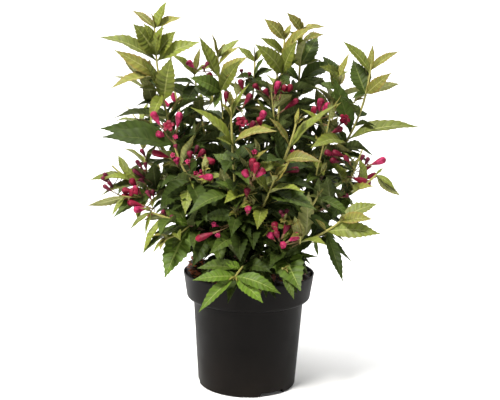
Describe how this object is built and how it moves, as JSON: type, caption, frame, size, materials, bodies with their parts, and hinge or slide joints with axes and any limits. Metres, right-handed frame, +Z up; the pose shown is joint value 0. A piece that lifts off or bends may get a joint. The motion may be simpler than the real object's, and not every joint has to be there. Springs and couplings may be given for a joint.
{
  "type": "potted weigela shrub",
  "caption": "Flowering weigela shrub with pointed leaves and crimson buds, growing from a short woody stem in a round nursery pot.",
  "frame": {"origin": "centre of the pot's flat underside", "axes": "+Z up along the pot's axis, -Y the front that faces the viewer, +X to the viewer's right"},
  "size_m": [0.465, 0.3551, 0.549],
  "materials": {
    "pot": "smooth black moulded plastic with a soft sheen",
    "compost": "loose dark compost with red-brown bark chips",
    "bark": "thin brown bark with pale pores",
    "foliage": "soft green serrated leaves with pale veins, and crimson buds"
  },
  "bodies": {
    "root": {"pot": "pot", "compost": "compost", "stem": "bark", "cane_left": "bark", "cane_left_front": "bark", "cane_centre_left": "bark", "cane_centre_back": "bark", "cane_centre_front": "bark", "cane_right_centre": "bark", "cane_right": "bark", "cane_right_front": "bark", "cane_front_low": "bark", "cane_back_left": "bark", "cane_back_right": "bark", "cane_back": "bark", "foliage_left_leader": "foliage", "foliage_left_sprays": "foliage", "foliage_left_front": "foliage", "foliage_left_low": "foliage", "foliage_centre_left": "foliage", "foliage_left_back": "foliage", "foliage_centre_back": "foliage", "foliage_back_centre": "foliage", "foliage_centre_front": "foliage", "foliage_front_right": "foliage", "foliage_right_centre": "foliage", "foliage_right_centre_twin": "foliage", "foliage_right_leader": "foliage", "foliage_right_side": "foliage", "foliage_right_low": "foliage", "foliage_right_mid": "foliage", "foliage_front_low": "foliage", "foliage_front_low_right": "foliage", "foliage_front_middle": "foliage", "foliage_back_left": "foliage", "foliage_back_left_low": "foliage", "foliage_back_right": "foliage", "foliage_back_right_low": "foliage", "foliage_back_low": "foliage", "foliage_back_low_right": "foliage"}
  },
  "joints": []
}
